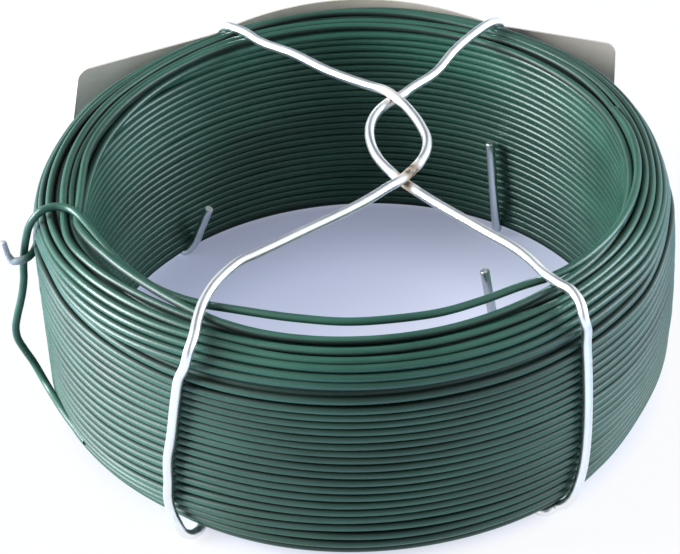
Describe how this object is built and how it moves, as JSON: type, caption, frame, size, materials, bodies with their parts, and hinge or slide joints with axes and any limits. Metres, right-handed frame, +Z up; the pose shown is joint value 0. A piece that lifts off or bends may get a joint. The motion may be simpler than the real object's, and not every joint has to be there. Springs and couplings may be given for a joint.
{
  "type": "coil of binding wire",
  "caption": "Flat-lying coil of plastic-coated binding wire in a two-wire cage that crosses in an eye over the open bore, with a bare card behind.",
  "frame": {"origin": "on the floor under the centre of the coil's bore", "axes": "+Z up along the coil's axis, +X to the right of the pictured front, -Y towards the viewer's side"},
  "size_m": [0.1713, 0.1646, 0.0692],
  "materials": {
    "coated_wire": "satin green plastic coat on steel wire",
    "plated_wire": "bright zinc plate, heat-tinted at the welds",
    "card": "plain grey-brown card, matt"
  },
  "bodies": {
    "root": {"wire_coil": "coated_wire", "tie_and_loose_turn": "coated_wire", "hooked_end": "coated_wire", "left_cage_wire": "plated_wire", "right_cage_wire": "plated_wire", "label_card": "card"}
  },
  "joints": []
}
